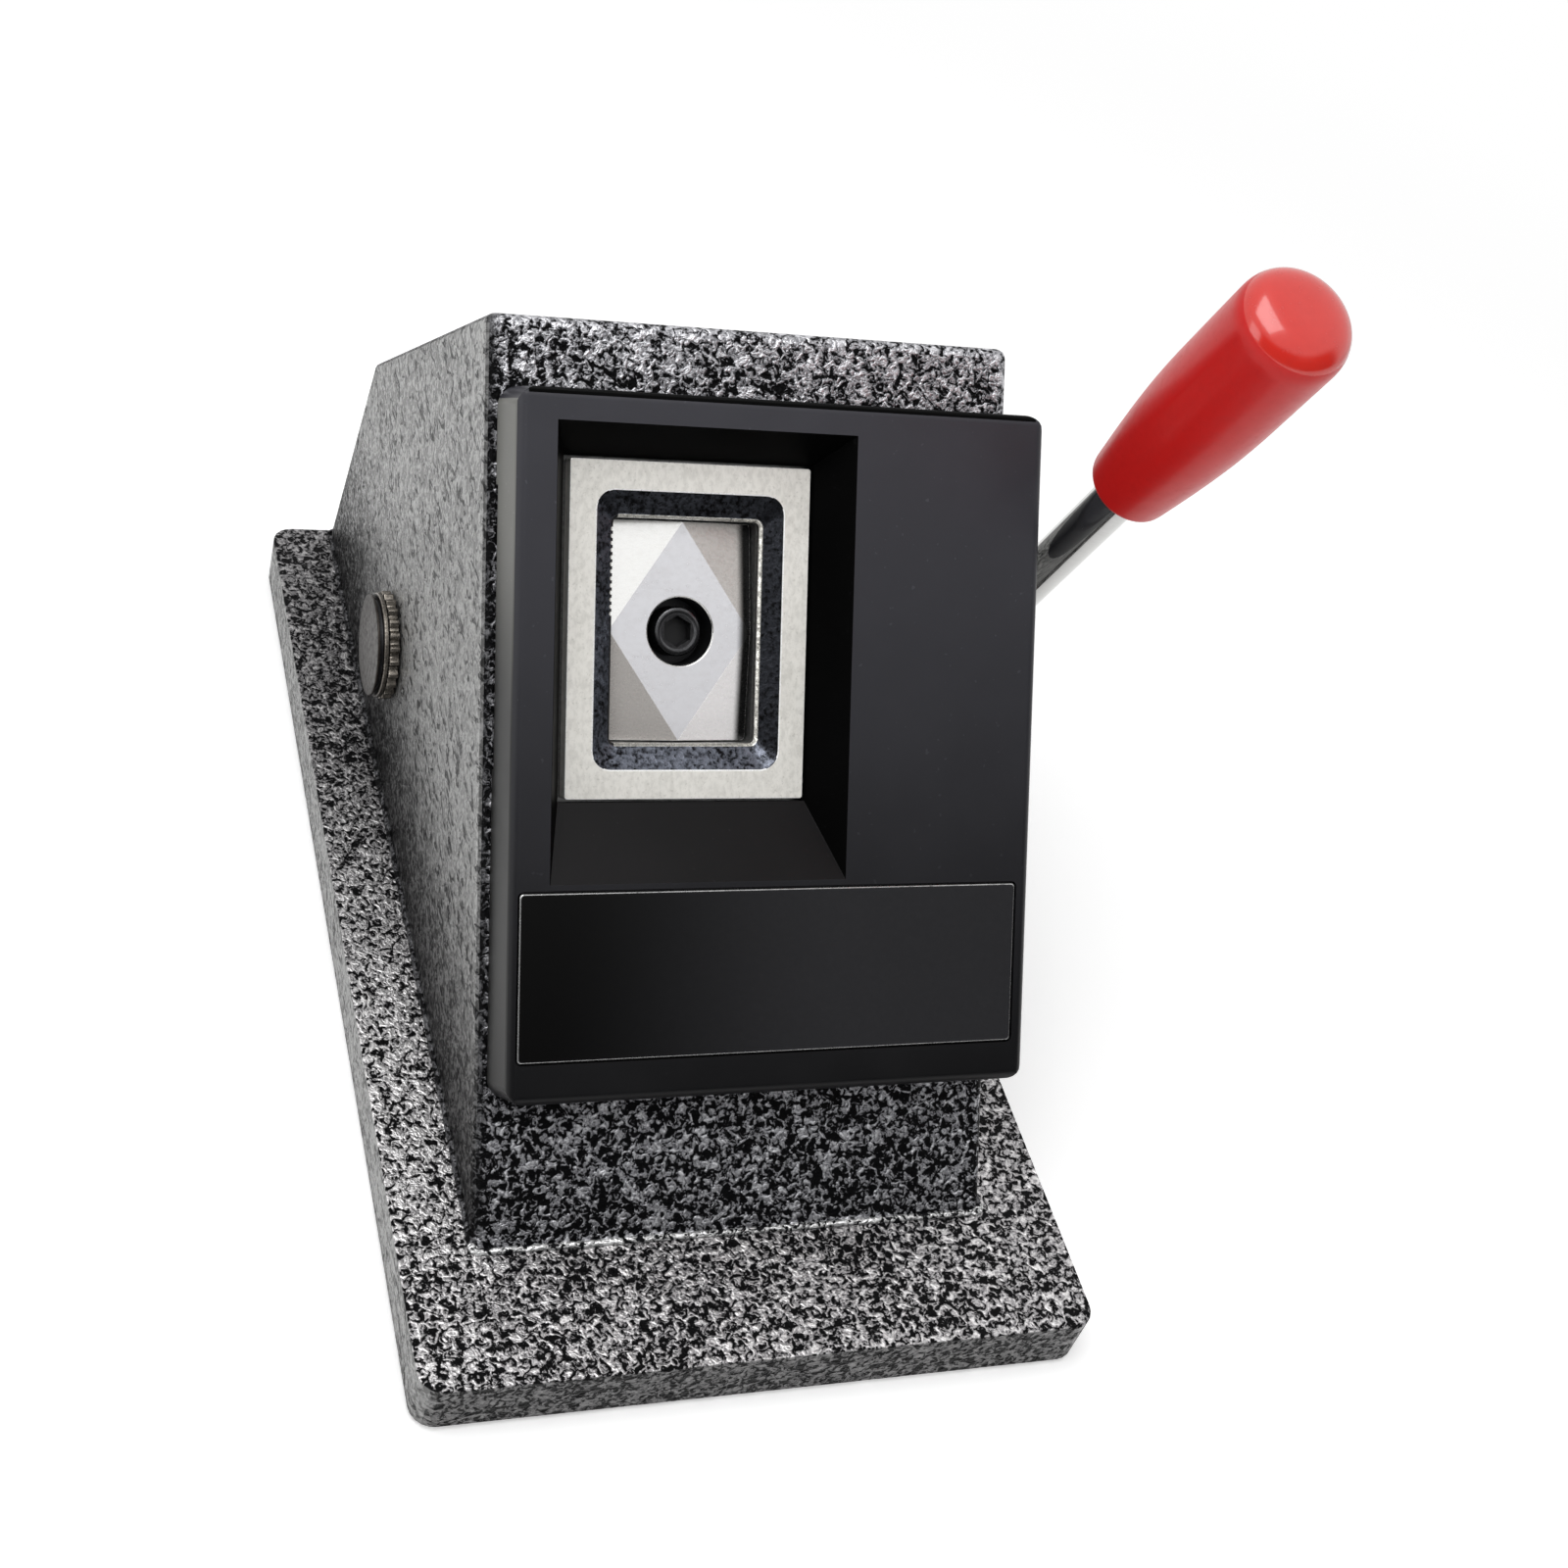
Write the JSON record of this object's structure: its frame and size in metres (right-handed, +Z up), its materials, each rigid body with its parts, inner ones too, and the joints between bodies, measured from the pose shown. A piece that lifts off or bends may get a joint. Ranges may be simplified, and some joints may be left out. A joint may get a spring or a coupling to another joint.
{
  "type": "passport photo cutter",
  "caption": "Hand lever press that cuts one small portrait out of a photo print, with a leaning cast body on a base plate, a black front cover with a die window and a red grip.",
  "frame": {"origin": "centre of the underside of the mat under the base plate", "axes": "+Z up, the operator stands at -Y, +X to the operator's right, where the lever is"},
  "size_m": [0.1619, 0.2734, 0.2315],
  "materials": {
    "hammer_enamel": "hammered, glossy",
    "base_enamel": "hammered, glossy",
    "black_moulding": "satin",
    "gloss_label": "gloss",
    "ground_steel": "ground",
    "punch_steel": "ground",
    "black_oxide": "black oxide",
    "machine_steel": "machined",
    "zinc_steel": "zinc plated",
    "spring_steel": "drawn",
    "bronze": "machined",
    "chrome": "polished",
    "red_grip": "gloss",
    "black_rubber": "matte"
  },
  "bodies": {
    "frame": {"base_mat": "black_rubber", "base_plate": "base_enamel", "body_bolt_back_left": "machine_steel", "body_bolt_back_right": "machine_steel", "body_bolt_front_left": "machine_steel", "body_bolt_front_right": "machine_steel", "body_casting": "hammer_enamel", "cover_screw_left": "zinc_steel", "cover_screw_right": "zinc_steel", "die_plate": "ground_steel", "die_screw_lower_left": "machine_steel", "die_screw_lower_right": "machine_steel", "die_screw_upper_left": "machine_steel", "die_screw_upper_right": "machine_steel", "die_spacer_lower_left": "machine_steel", "die_spacer_lower_right": "machine_steel", "die_spacer_upper_left": "machine_steel", "die_spacer_upper_right": "machine_steel", "front_cover": "black_moulding", "gib_screw_lower_left": "machine_steel", "gib_screw_lower_right": "machine_steel", "gib_screw_upper_left": "machine_steel", "gib_screw_upper_right": "machine_steel", "guide_plate": "machine_steel", "guide_screw_lower_left": "zinc_steel", "guide_screw_lower_right": "zinc_steel", "guide_screw_upper_left": "zinc_steel", "guide_screw_upper_right": "zinc_steel", "label_plate": "gloss_label", "left_bush": "bronze", "left_gib": "bronze", "left_return_spring": "spring_steel", "right_bush": "bronze", "right_gib": "bronze", "right_return_spring": "spring_steel", "spring_pin_left": "machine_steel", "spring_pin_right": "machine_steel", "stop_pin": "machine_steel"},
    "lever": {"cross_shaft": "machine_steel", "eccentric": "machine_steel", "eccentric_key": "machine_steel", "lever_hub": "black_oxide", "hub_pin": "machine_steel", "lever_rod": "chrome", "lever_grip": "red_grip", "shaft_cap": "zinc_steel", "lock_washer": "zinc_steel"},
    "ram": {"ram": "machine_steel", "punch": "punch_steel", "punch_screw": "black_oxide"}
  },
  "joints": [
    {"name": "lever_pull", "type": "hinge", "parent": "frame", "child": "lever", "pos_m": [0, 0.05023, 0.04989], "axis": [1, 0, 0], "range_deg": [0, 55]},
    {"name": "ram_slide", "type": "slide", "parent": "frame", "child": "ram", "axis": [0, -0.757, 0.6534], "range_m": [0, 0.0065], "stiffness_N_per_m": 3000, "springref_m": -0.008, "deforming": ["left_return_spring", "right_return_spring"]}
  ],
  "couplings": [
    {"joint": "ram_slide", "follows": "lever_pull", "m_per_rad": 0.0067343}
  ]
}
